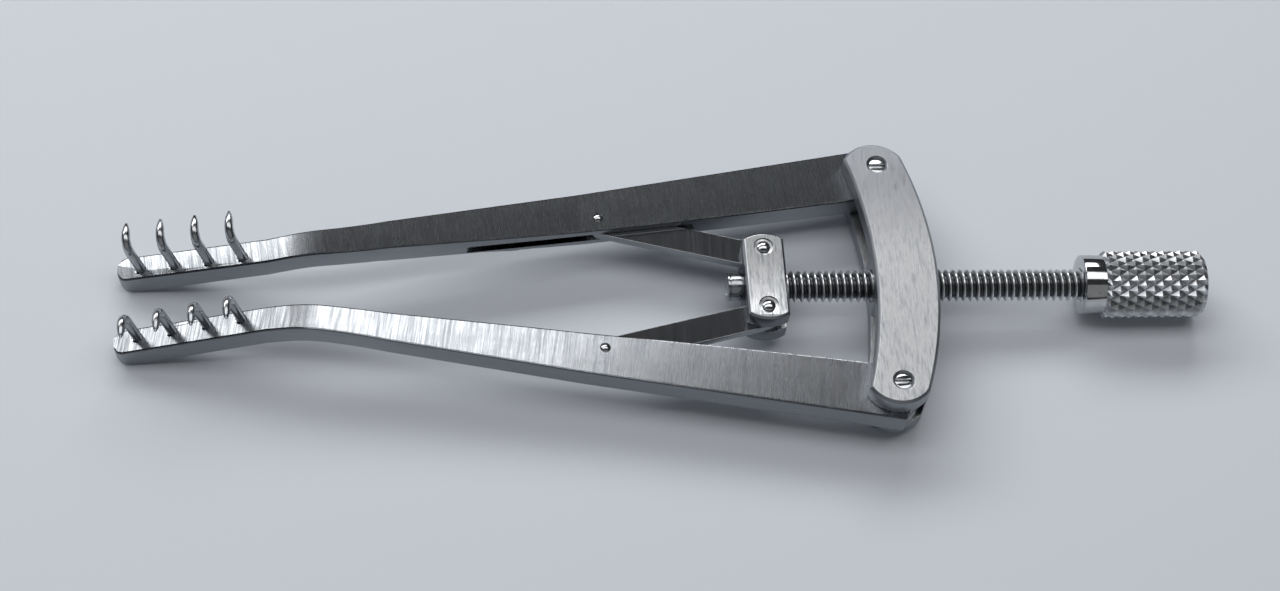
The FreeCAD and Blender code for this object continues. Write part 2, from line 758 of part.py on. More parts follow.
# Screw: spindle, thumb knob and the collar that keeps its nose in the crosshead.
NOSE = "-#crosshead_x - #nose_reach"
SHOULDER = "-#crosshead_x + #crosshead_length / 2 + #turn_clearance"
revolved(
    "spindle_body",
    "spindle",
    [
        (NOSE, "0"),
        ("#hub_face + #spindle_seat", "0"),
        ("#hub_face + #spindle_seat", "#spindle_radius"),
        (SHOULDER, "#spindle_radius"),
        (SHOULDER, "#journal_radius"),
        (NOSE, "#journal_radius"),
    ],
)
COLLAR_REAR = "-#crosshead_x - #crosshead_length / 2 - #turn_clearance"
BORE = "#journal_radius + #seat_clearance"
revolved(
    "collar_body",
    "retaining_collar",
    [
        (NOSE, BORE),
        (COLLAR_REAR, BORE),
        (COLLAR_REAR, "#collar_waist"),
        (NOSE + " + #collar_rim", "#collar_waist"),
        (NOSE + " + #collar_rim", "#collar_radius"),
        (NOSE, "#collar_radius"),
    ],
)
SEAT = "#spindle_radius + #seat_clearance"
revolved(
    "knob_body",
    "thumb_knob",
    [
        ("#hub_face", SEAT),
        ("#hub_face + #spindle_seat", SEAT),
        ("#hub_face + #spindle_seat", "0"),
        ("#hub_face + #hub_length + #knob_length", "0"),
        ("#hub_face + #hub_length + #knob_length", "#knob_radius - #knob_edge"),
        ("#hub_face + #hub_length + #knob_length - #knob_edge", "#knob_radius"),
        ("#hub_face + #hub_length + #knob_edge", "#knob_radius"),
        ("#hub_face + #hub_length", "#knob_radius - #knob_edge"),
        ("#hub_face + #hub_length", "#hub_radius"),
        ("#hub_face + 0.15", "#hub_radius"),
        ("#hub_face", "#hub_radius - 0.15"),
    ],
)

doc.recompute()

for item in doc.Objects:
    if "Invalid" in item.State or "Error" in item.State:
        raise RuntimeError("%s is not computed: %s" % (item.Name, item.State))
for item in NODES:
    shape = item.Shape
    if shape.isNull() or not shape.isValid() or shape.Volume <= 0:
        raise RuntimeError("%s has no valid solid" % item.Label)
    if len(shape.Solids) != 1:
        raise RuntimeError("%s has %d solids" % (item.Label, len(shape.Solids)))
for item in NODES:
    item.Shape.exportStep(os.path.join("parts", item.Label + ".step"))
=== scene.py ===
import math

import bmesh
import bpy
from mathutils import Matrix, Vector


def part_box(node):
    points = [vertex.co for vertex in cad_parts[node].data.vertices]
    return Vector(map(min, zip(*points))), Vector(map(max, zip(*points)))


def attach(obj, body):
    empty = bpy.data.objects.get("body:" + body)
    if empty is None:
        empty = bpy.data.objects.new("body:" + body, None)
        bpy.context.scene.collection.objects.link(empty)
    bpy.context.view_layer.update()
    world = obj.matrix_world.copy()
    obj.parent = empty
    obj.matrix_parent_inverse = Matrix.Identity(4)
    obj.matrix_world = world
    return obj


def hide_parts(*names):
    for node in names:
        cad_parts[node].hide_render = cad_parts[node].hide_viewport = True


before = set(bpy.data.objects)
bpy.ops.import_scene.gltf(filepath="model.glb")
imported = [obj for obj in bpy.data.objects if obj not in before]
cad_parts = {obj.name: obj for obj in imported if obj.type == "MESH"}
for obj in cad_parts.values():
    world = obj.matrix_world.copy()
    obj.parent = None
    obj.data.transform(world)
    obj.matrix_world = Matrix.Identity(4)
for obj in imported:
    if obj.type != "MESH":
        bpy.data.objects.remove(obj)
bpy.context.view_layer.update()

# Self retaining retractor in stainless steel, on a pale sheet. Lengths are in metres, in the
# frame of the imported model: prongs towards -X, thumb knob towards +X, +Z up. Left is -Y.
MM = 0.001

# The screw and everything turned round it share one axis, along X.
SPINDLE_LOW, SPINDLE_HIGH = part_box("spindle")
AXIS = Vector((0.0, 0.0, (SPINDLE_LOW[2] + SPINDLE_HIGH[2]) / 2))
THREAD_RADIUS = (SPINDLE_HIGH[2] - SPINDLE_LOW[2]) / 2
THREAD_PITCH = 0.635 * MM
THREAD_DEPTH = 0.36 * MM
JOURNAL_RADIUS = 0.95 * MM
FRONT, BACK = Vector((-1, 0, 0)), Vector((1, 0, 0))


def linear(code):
    """Linear RGBA of an sRGB hex colour."""
    parts = [int(code[i : i + 2], 16) / 255 for i in (1, 3, 5)]
    return [p / 12.92 if p <= 0.04045 else ((p + 0.055) / 1.055) ** 2.4 for p in parts] + [1.0]


def add(tree, kind, inputs, **settings):
    """Adds a node with its settings. Each of its inputs is given a value or linked to a socket."""
    item = tree.nodes.new(kind)
    for name, value in settings.items():
        setattr(item, name, value)
    for key, value in inputs.items():
        if isinstance(value, bpy.types.NodeSocket):
            tree.links.new(value, item.inputs[key])
        else:
            item.inputs[key].default_value = value
    return item


def new_steel(name, roughness, anisotropy=0.0):
    """A bare stainless steel: its tree, its shader and the piece's own coordinates."""
    material = bpy.data.materials.new(name)
    material.use_nodes = True
    tree = material.node_tree
    shader = tree.nodes["Principled BSDF"]
    shader.inputs["Metallic"].default_value = 1.0
    shader.inputs["Roughness"].default_value = roughness
    shader.inputs["Anisotropic"].default_value = anisotropy
    place = add(tree, "ShaderNodeTexCoord", {}).outputs["Object"]
    return material, tree, shader, place


# What a face is goes by how far up or down its normal points, from 0 to 1. The first pair is
# where a flank turns into a stoned edge, the second where an edge turns into a brushed top.
# These masks place painted shade: flanks and edges are coloured darker than the tops.
FLANK_TO_EDGE = 0.15, 0.4
EDGE_TO_TOP = 0.9, 0.97

# The marks of the belt: bands across a piece, strokes within them, and low waves. All of them
# are drawn coarser than the real grit lines, so that they show.
BAND_WIDTH = 0.45 * MM
BAND_STRETCH = 0.15
BAND_SHARE = 0.6
FAINT_STROKE, FULL_STROKE = 0.6, 1.0
WAVE_LENGTH, WAVE_HEIGHT = 2.5 * MM, 0.012 * MM
SCRATCH_HEIGHT = 0.01 * MM


def brushed_steel(
    name,
    pale,
    deep,
    roughness,
    anisotropy,
    stroke,
    reach=30,
    lay=0.0,
    relief=0.3,
    flank_lines_and_shade=("#a9adb2", "#8e9297"),
    edge="#9ea2a7",
    ground=None,
    dull=None,
):
    """Stainless steel brushed across a piece whose length lies at an angle to X. The eye sees
    fine strokes, broader bands where the belt pressed harder, and glints drawn out lengthwise;
    the flanks are smoother, with faint lines along them, and coloured darker as painted shade,
    and they meet the brushed faces in a stoned edge whose colour, edge, is painted shade too. A
    stroke is reach times as long as it is wide. ground gives the height that hand grinding has
    left on a face, in metres, and dull says where the top's colour goes over to deep and its
    strokes fade."""
    material, tree, shader, place = new_steel(name, roughness, anisotropy)

    facing = add(tree, "ShaderNodeTexCoord", {}).outputs["Normal"]
    facing = add(tree, "ShaderNodeSeparateXYZ", {0: facing}).outputs["Z"]
    facing = add(tree, "ShaderNodeMath", {0: facing}, operation="ABSOLUTE").outputs["Value"]
    level = {"Value": facing, "From Min": EDGE_TO_TOP[0], "From Max": EDGE_TO_TOP[1]}
    is_top = add(tree, "ShaderNodeMapRange", level).outputs["Result"]

    long = reach * stroke
    broad = BAND_STRETCH * reach * MM
    layers = {}
    for layer, size, detail in (
        ("across", (stroke, long, long), 3.0),
        ("along", (long, long, stroke), 2.0),
        ("bands", (BAND_WIDTH, broad, broad), 2.0),
        ("waves", (WAVE_LENGTH, WAVE_LENGTH, WAVE_LENGTH), 2.0),
    ):
        turn = {"Vector": place, "Rotation": (0.0, 0.0, lay), "Scale": size}
        spot = add(tree, "ShaderNodeMapping", turn, vector_type="TEXTURE").outputs["Vector"]
        cells = {"Vector": spot, "Scale": 1.0, "Detail": detail, "Roughness": 0.55}
        layers[layer] = add(tree, "ShaderNodeTexNoise", cells).outputs["Fac"]

    parts = {0: layers["bands"], 1: BAND_SHARE, 2: layers["across"]}
    strokes = add(tree, "ShaderNodeMath", parts, operation="MULTIPLY_ADD").outputs["Value"]
    shade = {"Value": strokes, "From Min": FAINT_STROKE, "From Max": FULL_STROKE}
    shade = add(tree, "ShaderNodeMapRange", shade).outputs["Result"]
    top = {"Factor": shade, "A": linear(deep), "B": linear(pale)}
    top = add(tree, "ShaderNodeMix", top, data_type="RGBA").outputs["Result"]
    if dull:
        top = {"Factor": dull(tree, place), "A": top, "B": linear(deep)}
        top = add(tree, "ShaderNodeMix", top, data_type="RGBA").outputs["Result"]
    # Painted shade: flanks take darker colours than the top, with lines along them, and edges take
    # the edge colour.
    wall_lines_and_shade = {"Factor": layers["along"], "A": linear(flank_lines_and_shade[0]), "B": linear(flank_lines_and_shade[1])}
    wall_lines_and_shade = add(tree, "ShaderNodeMix", wall_lines_and_shade, data_type="RGBA").outputs["Result"]
    slant = {"Value": facing, "From Min": FLANK_TO_EDGE[0], "From Max": FLANK_TO_EDGE[1]}
    slant = add(tree, "ShaderNodeMapRange", slant).outputs["Result"]
    side = {"Factor": slant, "A": wall_lines_and_shade, "B": linear(edge)}
    side = add(tree, "ShaderNodeMix", side, data_type="RGBA").outputs["Result"]
    colour = {"Factor": is_top, "A": side, "B": top}
    colour = add(tree, "ShaderNodeMix", colour, data_type="RGBA").outputs["Result"]
    tree.links.new(colour, shader.inputs["Base Color"])

    low, high = roughness * 0.8, roughness * 1.2
    gloss = {"Value": shade, "To Min": high, "To Max": low}
    gloss = add(tree, "ShaderNodeMapRange", gloss).outputs["Result"]
    gloss = {"Factor": is_top, "A": roughness, "B": gloss}
    gloss = add(tree, "ShaderNodeMix", gloss).outputs["Result"]
    tree.links.new(gloss, shader.inputs["Roughness"])

    dents = {"Height": layers["waves"], "Strength": 1.0, "Distance": WAVE_HEIGHT}
    normal = add(tree, "ShaderNodeBump", dents).outputs["Normal"]
    if ground:
        slope = {"Height": ground(tree, place), "Normal": normal, "Strength": 1.0, "Distance": 1.0}
        normal = add(tree, "ShaderNodeBump", slope).outputs["Normal"]
    lines = {"Factor": is_top, "A": layers["along"], "B": layers["across"]}
    lines = add(tree, "ShaderNodeMix", lines).outputs["Result"]
    scratches = {"Height": lines, "Normal": normal, "Strength": relief, "Distance": SCRATCH_HEIGHT}
    normal = add(tree, "ShaderNodeBump", scratches).outputs["Normal"]
    tree.links.new(normal, shader.inputs["Normal"])

    lengthwise = add(
        tree,
        "ShaderNodeVectorTransform",
        {"Vector": (math.cos(lay), math.sin(lay), 0.0)},
        vector_type="VECTOR",
        convert_from="OBJECT",
        convert_to="WORLD",
    )
    tree.links.new(lengthwise.outputs["Vector"], shader.inputs["Tangent"])
    return material


# Wear and grime lie in patches of about these sizes.
WEAR_PATCH = 0.8 * MM
GRIME_PATCH = 0.5 * MM


def polished_steel(name, colour, roughness):
    """Polished stainless steel. The eye sees sharp dark and bright reflections, faint wear."""
    material, tree, shader, place = new_steel(name, roughness)
    spots = {"Vector": place, "Scale": 1 / WEAR_PATCH, "Detail": 5.0, "Roughness": 0.65}
    wear = add(tree, "ShaderNodeTexNoise", spots).outputs["Fac"]
    tone = {"Factor": wear, "A": linear("#9fa2a6"), "B": linear(colour)}
    tone = add(tree, "ShaderNodeMix", tone, data_type="RGBA").outputs["Result"]
    tree.links.new(tone, shader.inputs["Base Color"])
    low, high = roughness * 0.7, roughness * 1.5
    gloss = {"Value": wear, "From Min": 0.35, "From Max": 0.7, "To Min": low, "To Max": high}
    gloss = add(tree, "ShaderNodeMapRange", gloss).outputs["Result"]
    tree.links.new(gloss, shader.inputs["Roughness"])
    return material


def cut_steel(name, root, crest, deep, roughness):
    """Steel with grooves cut round the screw's axis: bright crests over grey, and roots darkened
    with painted shade. root and crest are the radii between which the colour goes from deep,
    the painted root shade, to bright."""
    material, tree, shader, place = new_steel(name, roughness)
    away = {0: place, 1: AXIS}
    away = add(tree, "ShaderNodeVectorMath", away, operation="SUBTRACT").outputs["Vector"]
    flat = {0: away, 1: (0.0, 1.0, 1.0)}
    flat = add(tree, "ShaderNodeVectorMath", flat, operation="MULTIPLY").outputs["Vector"]
    radius = add(tree, "ShaderNodeVectorMath", {0: flat}, operation="LENGTH").outputs["Value"]
    # Painted shade: the colour darkens from the crests down into the roots.
    height = {"Value": radius, "From Min": root, "From Max": crest}
    height = add(tree, "ShaderNodeMapRange", height).outputs["Result"]
    tone = {"Factor": height, "A": linear(deep), "B": linear("#dfe1e3")}
    tone = add(tree, "ShaderNodeMix", tone, data_type="RGBA").outputs["Result"]
    tree.links.new(tone, shader.inputs["Base Color"])
    spots = {"Vector": place, "Scale": 1 / GRIME_PATCH, "Detail": 4.0, "Roughness": 0.6}
    wear = add(tree, "ShaderNodeTexNoise", spots).outputs["Fac"]
    low, high = roughness * 0.8, roughness * 1.4
    gloss = {"Value": wear, "From Min": 0.3, "From Max": 0.7, "To Min": low, "To Max": high}
    gloss = add(tree, "ShaderNodeMapRange", gloss).outputs["Result"]
    tree.links.new(gloss, shader.inputs["Roughness"])
    return material


# Along X, the lean grows from its start until it is full, and drops at the bend to the share
# that the bar keeps. It is level along a line this far to the left of the screw.
LEAN_START, LEAN_FULL = 28 * MM, -11 * MM
LEAN_BEND, LEAN_BAR = -30.5 * MM, -33 * MM
LEAN_MOST = math.radians(6)
LEAN_KEPT = 0.25
LEAN_LINE = 7 * MM


def blade_lean(tree, place):
    """The left blade is a little twisted: from its pivot to its bend, its top face leans over
    towards the other blade, by six degrees at most."""
    spot = add(tree, "ShaderNodeSeparateXYZ", {0: place}).outputs
    most = -math.tan(LEAN_MOST)
    ahead = {"Value": spot["X"], "From Min": LEAN_START, "From Max": LEAN_FULL, "To Max": most}
    ahead = add(tree, "ShaderNodeMapRange", ahead).outputs["Result"]
    until = {"Value": spot["X"], "From Min": LEAN_BAR, "From Max": LEAN_BEND, "To Min": LEAN_KEPT}
    until = add(tree, "ShaderNodeMapRange", until).outputs["Result"]
    slope = {0: ahead, 1: until}
    slope = add(tree, "ShaderNodeMath", slope, operation="MULTIPLY").outputs["Value"]
    off = {0: spot["Y"], 1: LEAN_LINE}
    off = add(tree, "ShaderNodeMath", off, operation="ADD").outputs["Value"]
    height = {0: slope, 1: off}
    return add(tree, "ShaderNodeMath", height, operation="MULTIPLY").outputs["Value"]


HOLLOW_START, HOLLOW_END = 2.5 * MM, -4 * MM
HOLLOW_RISE = 0.3 * MM


def block_hollow(tree, place):
    """The crosshead's top is ground a little hollow towards its left end."""
    spot = add(tree, "ShaderNodeSeparateXYZ", {0: place}).outputs
    share = {"Value": spot["Y"], "From Min": HOLLOW_START, "From Max": HOLLOW_END}
    share = add(tree, "ShaderNodeMapRange", share).outputs["Result"]
    squared = {0: share, 1: 2.0}
    squared = add(tree, "ShaderNodeMath", squared, operation="POWER").outputs["Value"]
    rise = {0: squared, 1: HOLLOW_RISE}
    return add(tree, "ShaderNodeMath", rise, operation="MULTIPLY").outputs["Value"]


DULL_START, DULL_END = 1 * MM, 9 * MM
DULL_MOST = 0.9


def dull_end(tree, place):
    """The yoke's top goes greyer towards its right end, and its strokes hardly show there."""
    spot = add(tree, "ShaderNodeSeparateXYZ", {0: place}).outputs
    share = {"Value": spot["Y"], "From Min": DULL_START, "From Max": DULL_END, "To Max": DULL_MOST}
    return add(tree, "ShaderNodeMapRange", share).outputs["Result"]


# Brushed on a belt across each blade, which lies at this angle to the screw. A long highlight
# runs down the blade.
BLADE_LAY = math.radians(8.6)
BLADE = {
    side: brushed_steel(
        "cross_brushed_blade_" + side,
        pale="#bec1c5",
        deep="#868a8f",
        roughness=0.26,
        anisotropy=1.0,
        stroke=0.12 * MM,
        lay=lay,
        # Painted dark reflection: the blades' broken edges are coloured nearly black.
        edge="#4c4f53",
        ground=ground,
    )
    for side, lay, ground in (("left", -BLADE_LAY, blade_lean), ("right", BLADE_LAY, None))
}

# Satin, with short strokes: the eye sees an even sheen and pale rubbed spots.
SATIN_YOKE = brushed_steel(
    "satin_yoke_steel",
    pale="#f4f5f6",
    deep="#a0a3a8",
    roughness=0.4,
    anisotropy=0.35,
    stroke=0.13 * MM,
    reach=10,
    relief=1.0,
    dull=dull_end,
)
SATIN_BLOCK = brushed_steel(
    "satin_block_steel",
    pale="#f2f3f4",
    deep="#8c9095",
    roughness=0.34,
    anisotropy=0.5,
    stroke=0.2 * MM,
    reach=9,
    relief=1.0,
    # Painted shade: the crosshead's flanks are coloured far darker than its top.
    flank_lines_and_shade=("#84888d", "#74787d"),
    ground=block_hollow,
)

# Smooth strip as it leaves the rolls: the eye sees a dark, nearly mirror-like face.
ROLLED_LINK = brushed_steel(
    "rolled_link_steel",
    pale="#bcbfc3",
    deep="#a8abb0",
    roughness=0.14,
    anisotropy=0.2,
    stroke=0.2 * MM,
    relief=0.05,
)

POLISHED = polished_steel("polished_steel", "#d9dadb", roughness=0.09)
COLLAR_STEEL = polished_steel("turned_collar_steel", "#a3a6aa", roughness=0.22)
HOOK_STEEL = polished_steel("polished_hook_steel", "#b9bcc0", roughness=0.2)
PIN_STEEL = polished_steel("turned_pin_steel", "#d2d3d5", roughness=0.12)
# The thread's roots carry dark painted shade.
THREAD_STEEL = cut_steel(
    "cut_thread_steel",
    root=THREAD_RADIUS - THREAD_DEPTH,
    crest=THREAD_RADIUS,
    deep="#4a4c50",
    roughness=0.3,
)

# Points closer than this are one point.
WELD = 0.002 * MM


def node_copy(name):
    """Bmesh of a CAD node with its triangles merged back into whole faces."""
    bm = bmesh.new()
    bm.from_mesh(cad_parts[name].data)
    bmesh.ops.remove_doubles(bm, verts=bm.verts, dist=WELD)
    bmesh.ops.dissolve_limit(
        bm, angle_limit=math.radians(0.6), verts=bm.verts, edges=bm.edges, delimit={"NORMAL"}
    )
    return bm


def soften(bm, width, angle=28, segments=2, chosen=lambda edge: True, clamp=True):
    """Rounds the chosen edges that are sharper than the angle, and welds what is left of the
    shortest ones."""
    edges = []
    for edge in bm.edges:
        if len(edge.link_faces) != 2 or not chosen(edge):
            continue
        if abs(edge.calc_face_angle_signed()) > math.radians(angle):
            edges.append(edge)
    bmesh.ops.bevel(
        bm,
        geom=edges,
        offset=width,
        offset_type="OFFSET",
        segments=segments,
        profile=0.5,
        affect="EDGES",
        clamp_overlap=clamp,
        material=-1,
    )
    bmesh.ops.remove_doubles(bm, verts=bm.verts, dist=2 * WELD)


def turned(profile, steps=64):
    """Closed solid of revolution round the screw's axis from (x, radius) points."""
    bm = bmesh.new()
    verts = [bm.verts.new((x, AXIS.y, AXIS.z + r)) for x, r in profile]
    edges = [bm.edges.new(pair) for pair in zip(verts, verts[1:])]
    bmesh.ops.spin(
        bm,
        geom=verts + edges,
        cent=AXIS,
        axis=BACK,
        dvec=(0, 0, 0),
        angle=2 * math.pi,
        steps=steps,
        use_merge=True,
        use_duplicate=False,
    )
    bmesh.ops.remove_doubles(bm, verts=bm.verts, dist=WELD / 2)
    return bm


def piece(bm, name, body, material, *nodes, smooth=35, weighted=True):
    """Finished piece from a bmesh, riding a body, in place of CAD nodes. Edges sharper than
    smooth, in degrees, stay crisp, and 0 leaves every face flat."""
    bmesh.ops.recalc_face_normals(bm, faces=bm.faces)
    mesh = bpy.data.meshes.new(name)
    bm.to_mesh(mesh)
    bm.free()
    mesh.materials.append(material)
    if smooth:
        mesh.shade_smooth()
        mesh.set_sharp_from_angle(angle=math.radians(smooth))
    item = bpy.data.objects.new(name, mesh)
    bpy.context.collection.objects.link(item)
    if weighted and smooth:
        item.modifiers.new("even_planes", "WEIGHTED_NORMAL").keep_sharp = True
    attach(item, body)
    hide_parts(*nodes)


# A prong: its wire, its depth in the bar, its stem above, the radius of its bend, and the
# length and the taper of its point. Each ring of the point has the share of the length at which
# its taper is taken, and how far it lies from the last. The bars slope down to their tips.
PRONG_RADIUS = 0.43 * MM
PRONG_SEAT = 1.6 * MM
PRONG_STEM = 2.88 * MM
PRONG_BEND = 1.14 * MM
PRONG_BEND_STEPS, PRONG_BEND_THINNING = 10, 0.985
PRONG_POINT = 1.13 * MM
POINT_TAPER, POINT_CURVE = 0.68, 1.8
POINT_TIP, POINT_TIP_SCALE = 0.02, 0.4
POINT_RINGS = (0.2, 0.2), (0.4, 0.2), (0.6, 0.2), (0.8, 0.2), (0.92, 0.09), (0.98, 0.09)
BAR_SLOPE = math.radians(15.3)


def prong_foot(side, number):
    """Lower end of a prong's axis, down in the bar."""
    low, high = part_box("prong_%s_%d" % (side, number))
    return Vector(
        (
            high[0] - PRONG_RADIUS * math.cos(BAR_SLOPE),
            low[1] + PRONG_RADIUS if side == "right" else high[1] - PRONG_RADIUS,
            low[2] + PRONG_RADIUS * math.sin(BAR_SLOPE),
        )
    )


# The bend's curve reaches this far to each side of a fold, and is cut into strips.
BEND_REACH = 1.8 * MM
BEND_STRIPS = 12
CUT_SNAP = 0.05 * MM


def round_bend(bm):
    """Turns the blade's two fold lines, top and bottom, into smooth curves."""
    folds = []
    for edge in bm.edges:
        run = edge.verts[0].co - edge.verts[1].co
        angle = math.degrees(abs(edge.calc_face_angle_signed()))
        if abs(run.normalized().y) > 0.9 and run.length > MM and 15 < angle < 28:
            slopes = [face.normal.x / face.normal.z for face in edge.link_faces]
            folds.append((edge.verts[0].co.z, edge.verts[0].co.x, abs(slopes[0] - slopes[1])))
    (low_z, low_x, low_change), (top_z, top_x, top_change) = sorted(folds)
    for i in range(BEND_STRIPS + 1):
        x = top_x - BEND_REACH + i * (low_x - top_x + 2 * BEND_REACH) / BEND_STRIPS
        geom = bm.verts[:] + bm.edges[:] + bm.faces[:]
        bmesh.ops.bisect_plane(bm, geom=geom, dist=CUT_SNAP, plane_co=(x, 0, 0), plane_no=BACK)
    for vert in bm.verts:
        on_top = vert.co.z > (low_z + top_z) / 2
        fold_x, change = (top_x, top_change) if on_top else (low_x, low_change)
        near = BEND_REACH - abs(vert.co.x - fold_x)
        if near > 0:
            vert.co.z -= change * near * near / (4 * BEND_REACH)


# Kept clear of the broken edge: what is this close to a hole, the link's slot at half the
# blade's height, and the heel under the tip. The tip's corner points are thinned out first.
EDGE_BREAK = 0.15 * MM
HOLE_MARGIN = 0.25 * MM
SLOT_FRONT, SLOT_HALF = -20 * MM, 0.7 * MM
HEEL_LENGTH, HEEL_TOP = 2 * MM, 1.2 * MM
CORNER_LENGTH, CORNER_WELD = 1.2 * MM, 0.08 * MM


def arm(side):
    """Sawn and bent blade: its bend is rounded, and its outer edges are broken."""
    bm = node_copy("arm_" + side)
    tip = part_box("arm_" + side)[0][0]
    corner = [vert for vert in bm.verts if vert.co.x < tip + CORNER_LENGTH]
    bmesh.ops.remove_doubles(bm, verts=corner, dist=CORNER_WELD)
    round_bend(bm)

    holes = [(prong_foot(side, number), PRONG_RADIUS) for number in range(1, 5)]
    for name in ("arm_link_pin_", "pivot_screw_"):
        low, high = (Vector(c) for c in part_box(name + side))
        holes.append(((low + high) / 2, (high.x - low.x) / 2))

    def on_outline(edge):
        middle = (edge.verts[0].co + edge.verts[1].co) / 2
        in_slot = middle.x > SLOT_FRONT and abs(middle.z - AXIS.z) < SLOT_HALF
        in_hole = any((middle - spot).xy.length < r + HOLE_MARGIN for spot, r in holes)
        in_heel = middle.x < tip + HEEL_LENGTH and middle.z < HEEL_TOP
        return not in_slot and not in_hole and not in_heel

    soften(bm, width=EDGE_BREAK, angle=50, chosen=on_outline, clamp=False)
    piece(bm, "blade_" + side, "arm_" + side, BLADE[side], "arm_" + side, smooth=20)


def prong(side, number):
    """Wire hook: a round stem, a quarter bend outward and a ground point."""
    out = 1 if side == "right" else -1
    bm = bmesh.new()
    bmesh.ops.create_circle(bm, segments=24, radius=PRONG_RADIUS, cap_ends=True)
    bmesh.ops.translate(bm, verts=bm.verts, vec=(0, 0, -PRONG_SEAT))
    ring = list(bm.edges)

    def onward(move, scale=1.0, turn=None):
        """Draws the wire's open end out, turns it about a point and makes it wider or thinner."""
        nonlocal ring
        made = bmesh.ops.extrude_edge_only(bm, edges=ring)["geom"]
        verts = [v for v in made if isinstance(v, bmesh.types.BMVert)]
        ring = [e for e in made if isinstance(e, bmesh.types.BMEdge)]
        ring = [e for e in ring if all(v in verts for v in e.verts)]
        if turn:
            bmesh.ops.rotate(bm, verts=verts, cent=turn[0], matrix=turn[1])
        bmesh.ops.translate(bm, verts=verts, vec=move)
        middle = sum((v.co for v in verts), Vector()) / len(verts)
        for vert in verts:
            vert.co = middle + (vert.co - middle) * scale

    onward((0, 0, PRONG_SEAT + PRONG_STEM))
    step = Matrix.Rotation(-out * math.pi / 2 / PRONG_BEND_STEPS, 3, "X")
    for _ in range(PRONG_BEND_STEPS):
        onward((0, 0, 0), PRONG_BEND_THINNING, ((0, out * PRONG_BEND, PRONG_STEM), step))
    width = 1.0
    for share, reach in POINT_RINGS:
        narrower = 1 - POINT_TAPER * share**POINT_CURVE
        onward((0, out * PRONG_POINT * reach, 0), narrower / width)
        width = narrower
    onward((0, out * PRONG_POINT * POINT_TIP, 0), POINT_TIP_SCALE)
    bmesh.ops.contextual_create(bm, geom=ring)

    foot = Matrix.Translation(prong_foot(side, number))
    tilt = Matrix.Rotation(-BAR_SLOPE, 4, "Y")
    start = foot @ tilt @ Matrix.Translation((0, 0, PRONG_SEAT))
    bmesh.ops.transform(bm, matrix=start, verts=bm.verts)
    name = "hook_%s_%d" % (side, number)
    piece(bm, name, "arm_" + side, HOOK_STEEL, "prong_%s_%d" % (side, number))


def yoke():
    """Bowed bar with its edges rubbed round."""
    bm = node_copy("yoke")
    soften(bm, width=0.14 * MM, segments=3)
    piece(bm, "bowed_yoke", "frame", SATIN_YOKE, "yoke")


def pivot_screw(side):
    """Slotted screw on which an arm turns."""
    bm = node_copy("pivot_screw_" + side)
    soften(bm, width=0.06 * MM)
    piece(bm, "slotted_screw_" + side, "frame", PIN_STEEL, "pivot_screw_" + side)


def crosshead():
    """Small block that the screw pushes and pulls, with its edges rubbed round."""
    bm = node_copy("crosshead")
    soften(bm, width=0.13 * MM, segments=3)
    piece(bm, "crosshead_block", "crosshead", SATIN_BLOCK, "crosshead")


# Height of the pins' domes, and the rings that make one: how far each lies inside the last, in
# shares of the pin's radius, and how much it rises, in shares of the dome's height.
DOME = 0.2 * MM
DOME_RINGS = (0.12, 0.23), (0.2, 0.31), (0.24, 0.27), (0.22, 0.14), (0.14, 0.05)


def upright_pin(node, name, body):
    """Pin across the height of a node, with its ends peened to low domes."""
    low, high = (Vector(c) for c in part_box(node))
    radius = (high.x - low.x) / 2
    bm = bmesh.new()
    bmesh.ops.create_cone(
        bm, cap_ends=True, segments=32, radius1=radius, radius2=radius, depth=high.z - low.z
    )
    for cap in [face for face in bm.faces if abs(face.normal.z) > 0.9]:
        up = 1 if cap.calc_center_median().z > 0 else -1
        for inset, lift in DOME_RINGS:
            bmesh.ops.inset_region(
                bm, faces=[cap], thickness=radius * inset, use_even_offset=True
            )
            bmesh.ops.translate(bm, verts=cap.verts, vec=(0, 0, up * DOME * lift))
    bmesh.ops.translate(bm, verts=bm.verts, vec=(low + high) / 2)
    piece(bm, name, body, PIN_STEEL, node)


def link(side):
    """Flat plate between the crosshead and an arm."""
    bm = node_copy("link_" + side)
    soften(bm, width=0.06 * MM)
    piece(bm, "link_plate_" + side, "link_" + side, ROLLED_LINK, "link_" + side)


# One pitch of the thread: how far along it is, and how high between root and crest.
THREAD_RIB = (0.0, 0), (0.12, 0), (0.42, 1), (0.56, 1), (0.88, 0), (1.0, 0)
THREAD_STEPS = 32
THREAD_SPARE_FRONT, THREAD_SPARE_TURNS = 1.4, 3
SHOULDER_GAP = 0.05 * MM
NOSE_EDGE = 0.15 * MM
NOSE_OVERLAP = 0.3 * MM


